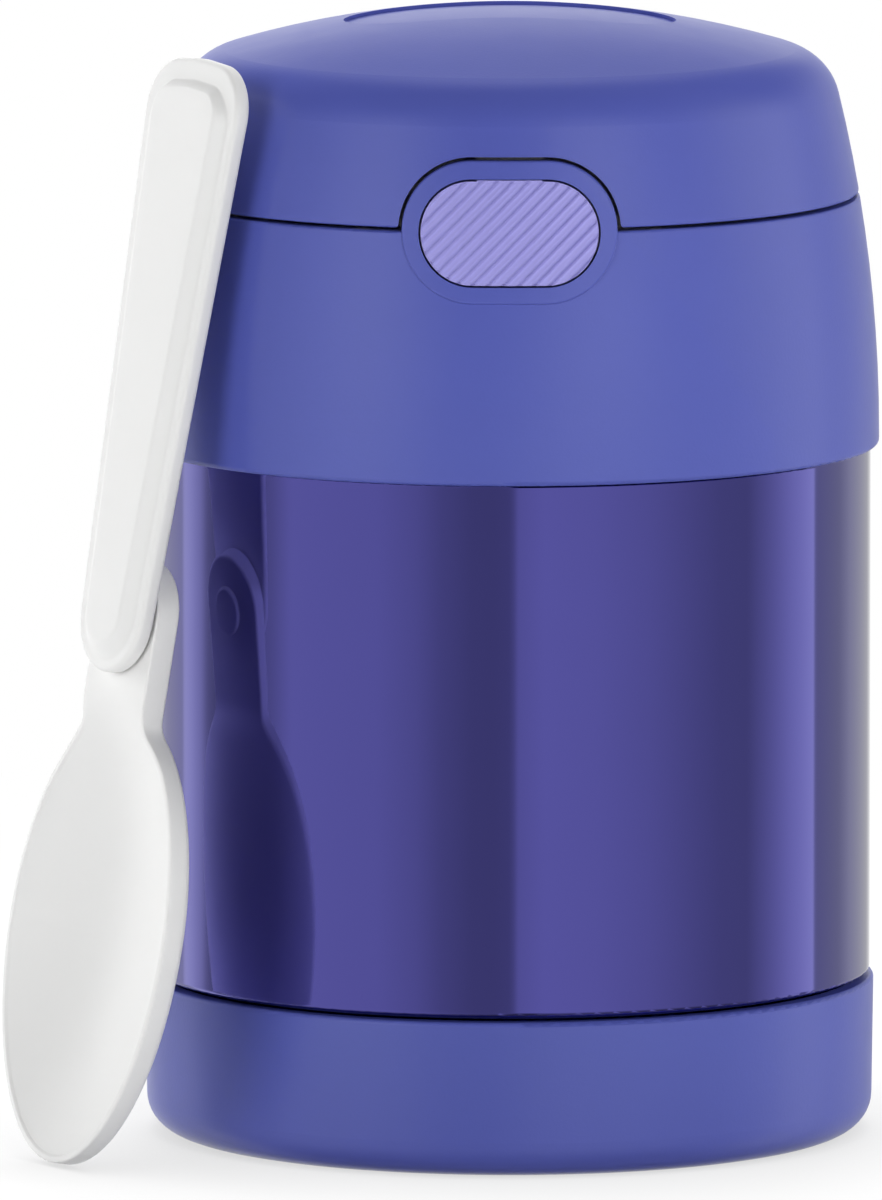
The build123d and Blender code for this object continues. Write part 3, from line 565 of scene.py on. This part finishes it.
# ---- the spoon ----
def spoon_place():
    """From the spoon's own frame in millimetres to the model's in metres."""
    fold = next(j for j in frame["joints"] if j["name"] == "spoon_fold")
    face = Vector(fold["axis"]).normalized()
    across = Vector((-face.y, face.x, 0)).normalized()
    up = face.cross(across)
    turn = Matrix((across, up, face)).transposed().to_4x4()
    return Matrix.Translation(fold["pos_m"]) @ turn @ Matrix.Scale(MILLIMETRE, 4)


def make_spoon_bowl(material, place):
    """The bowl with its neck and tab: back, rounded edges, lip and hollow."""
    shares = [math.sin(math.pi / 2 * k / BOWL_STEPS) for k in range(BOWL_STEPS + 1)]
    rings = [(BOWL_INSET, share, bowl_back) for share in shares]
    rings += [(inset, 1.0, bowl_back) for inset in BACK_INSETS]
    rings += [(inset, 1.0, lifted(bowl_back, lift)) for inset, lift in rounded_edge(BACK_ROUND, -1)]
    rings += [(inset, 1.0, lifted(bowl_face, lift)) for inset, lift in rounded_edge(FRONT_ROUND, 1)]
    rings += [(inset, 1.0, bowl_face) for inset in LIP_INSETS]
    rings += [(inset, 1.0, hollow_face) for inset in HOLLOW_INSETS]
    rings += [(BOWL_INSET, share, hollow_face) for share in reversed(shares)]
    piece = ringed("spoon_bowl_form", bowl_outline(), rings, BOWL_CENTRE, BOWL_SQUEEZE, place)
    piece.data.materials.append(material)
    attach(piece, "spoon_bowl")
    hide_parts("spoon_bowl")


def slope_inset(share):
    """Distance from the handle's edge to a line on the plateau's slope, which is narrower at the far end."""
    def inset_at(_, y):
        end = smooth(HANDLE_LENGTH - PLATEAU_END_START, HANDLE_LENGTH - PLATEAU_END_WHOLE, y)
        foot = PLATEAU_FOOT + (PLATEAU_END_FOOT - PLATEAU_FOOT) * end
        return foot + (PLATEAU_EDGE - foot) * share
    return inset_at


def make_spoon_handle(material, place):
    """The handle: a flat back, rounded edges and a plateau with a smooth slope round it."""
    top = HANDLE_WALL + PLATEAU_HEIGHT
    rings = [(HANDLE_ROUND, share, 0.0) for share in HANDLE_SHARES]
    rings += [(inset, 1.0, lift) for inset, lift in rounded_edge(HANDLE_ROUND, -1)[1:]]
    rings += [(inset, 1.0, HANDLE_WALL + lift) for inset, lift in rounded_edge(HANDLE_ROUND, 1)]
    rings.append(((HANDLE_ROUND + PLATEAU_FOOT) / 2, 1.0, HANDLE_WALL))
    for k in range(SLOPE_STEPS + 1):
        share = k / SLOPE_STEPS
        rings.append((slope_inset(share), 1.0, HANDLE_WALL + PLATEAU_HEIGHT * smooth(0, 1, share)))
    rings += [(PLATEAU_EDGE, share, top) for share in reversed(HANDLE_SHARES[:-1])]
    piece = ringed("spoon_handle_form", handle_outline(), rings, HANDLE_MIDDLE, HANDLE_SQUEEZE, place)
    piece.data.materials.append(material)
    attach(piece, "spoon_handle")
    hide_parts("spoon_handle")


# ---- the button's spring ----
def make_button_spring(material):
    """The button's spring, between the lid's bracket and the button's slide, as a fixed copy of the CAD coil in
    its own material.
    """
    coil = frame["nodes"]["button_spring"].data.copy()
    coil.materials.clear()
    coil.materials.append(material)
    piece = add_object("button_spring_form", coil)
    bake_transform(piece)
    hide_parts("button_spring")


# ---- studio ----
def make_camera():
    data = bpy.data.cameras.new("camera")
    data.sensor_fit = "VERTICAL"
    data.sensor_height = SENSOR
    data.sensor_width = SENSOR
    data.lens = FOCAL_PIXELS * SENSOR / PHOTO_HEIGHT
    data.clip_start = CLIP_NEAR
    data.clip_end = CLIP_FAR
    camera = add_object("camera", data)
    camera.location = CAMERA_PLACE
    camera.rotation_euler = (math.pi / 2 - CAMERA_PITCH, 0, CAMERA_YAW)
    bpy.context.scene.camera = camera


def background(tree, colour, strength):
    inputs = {"Color": colour, "Strength": strength}
    return node(tree, "ShaderNodeBackground", inputs).outputs["Background"]


def make_world():
    """White behind the jar, an even soft light on it, and tall soft panels for what mirrors."""
    world = bpy.data.worlds.new("studio")
    bpy.context.scene.world = world
    world.use_nodes = True
    tree = world.node_tree
    tree.nodes.clear()
    direction = node(tree, "ShaderNodeTexCoord").outputs["Generated"]
    split = node(tree, "ShaderNodeSeparateXYZ", {"Vector": direction}).outputs
    azimuth = number(tree, "ARCTAN2", split["X"], number(tree, "MULTIPLY", split["Y"], -1.0))
    round_share = moved(tree, azimuth, (-math.pi, math.pi))
    tilt_share = moved(tree, split["Z"], (-1.0, 1.0))
    panels = grey_ramp(tree, round_share, [((turn + 180) / 360, level) for turn, level in SURROUND])
    dimming = grey_ramp(tree, tilt_share, [((sine + 1) / 2, level) for sine, level in TILTS])
    rays = node(tree, "ShaderNodeLightPath").outputs
    in_mirrors = background(tree, panels, dimming)
    lit = mixed_shader(tree, rays["Is Glossy Ray"], background(tree, WHITE, SOFT_LIGHT), in_mirrors)
    seen = mixed_shader(tree, rays["Is Camera Ray"], lit, background(tree, WHITE, 1.0))
    node(tree, "ShaderNodeOutputWorld", {"Surface": seen})


def make_lamps():
    """Soft lamps in a ring, each turned to the middle of the jar."""
    for azimuth, height, power in LAMPS:
        turn, rise = math.radians(azimuth), math.radians(height)
        name = f"lamp_{azimuth}_{height}"
        data = bpy.data.lights.new(name, "AREA")
        data.shape = "RECTANGLE"
        data.size, data.size_y = LAMP_WIDTH, LAMP_HEIGHT
        data.energy = power
        lamp = add_object(name, data)
        flat = LAMP_DISTANCE * math.cos(rise)
        up = LAMP_DISTANCE * math.sin(rise)
        lamp.location = (flat * math.sin(turn), -flat * math.cos(turn), JAR_MIDDLE + up)
        lamp.rotation_euler = (math.pi / 2 - rise, 0, turn)
        lamp.visible_glossy = False


def floor_material():
    """Pale where the lamps light it; to the camera it glows, with a painted shadow close under the jar from
    ambient occlusion, mixed with a little of the real lamp light, and white further off.
    """
    material, tree, shader = new_material("floor")
    shader.inputs["Base Color"].default_value = FLOOR_COLOUR
    shader.inputs["Roughness"].default_value = 1.0
    shader.inputs["Specular IOR Level"].default_value = 0.0
    lit = shader.outputs["BSDF"]
    distance = vector(tree, "LENGTH", object_place(tree))
    away = moved(tree, distance, FLOOR_FADE, way="SMOOTHSTEP")
    # painted shadow: a glow dimmed by ambient occlusion close under the jar
    corner = node(tree, "ShaderNodeAmbientOcclusion", {"Distance": PAINTED_SHADOW_REACH}, samples=PAINTED_SHADOW_SAMPLES)
    painted_shadow_level = moved(tree, corner.outputs["AO"], target=PAINTED_SHADOW_LEVELS)
    with_painted_shading = node(tree, "ShaderNodeEmission", {"Strength": painted_shadow_level}).outputs["Emission"]
    white = node(tree, "ShaderNodeEmission").outputs["Emission"]
    near_painted_shadow = mixed_shader(tree, PAINTED_SHADOW_SHARE, lit, with_painted_shading)
    whole = mixed_shader(tree, away, near_painted_shadow, white)
    rays = node(tree, "ShaderNodeLightPath").outputs
    shown = mixed_shader(tree, rays["Is Camera Ray"], lit, whole)
    tree.links.new(shown, tree.nodes["Material Output"].inputs["Surface"])
    return material


def make_floor():
    """A wide floor that the jar stands on."""
    bpy.ops.mesh.primitive_circle_add(
        vertices=FLOOR_SIDES, radius=FLOOR_RADIUS, fill_type="NGON", location=(0, 0, 0)
    )
    floor = bpy.context.object
    floor.name = "floor"
    floor.data.materials.append(floor_material())
    floor.visible_glossy = False


def main():
    bpy.context.scene.view_settings.view_transform = "Standard"
    make_camera()
    make_world()
    make_lamps()
    make_floor()
    materials = make_materials()
    dress_cad_nodes(materials)
    place = spoon_place()
    make_spoon_bowl(materials["spoon_plastic"], place)
    make_spoon_handle(materials["spoon_plastic"], place)
    make_button_spring(materials["spring_steel"])


main()
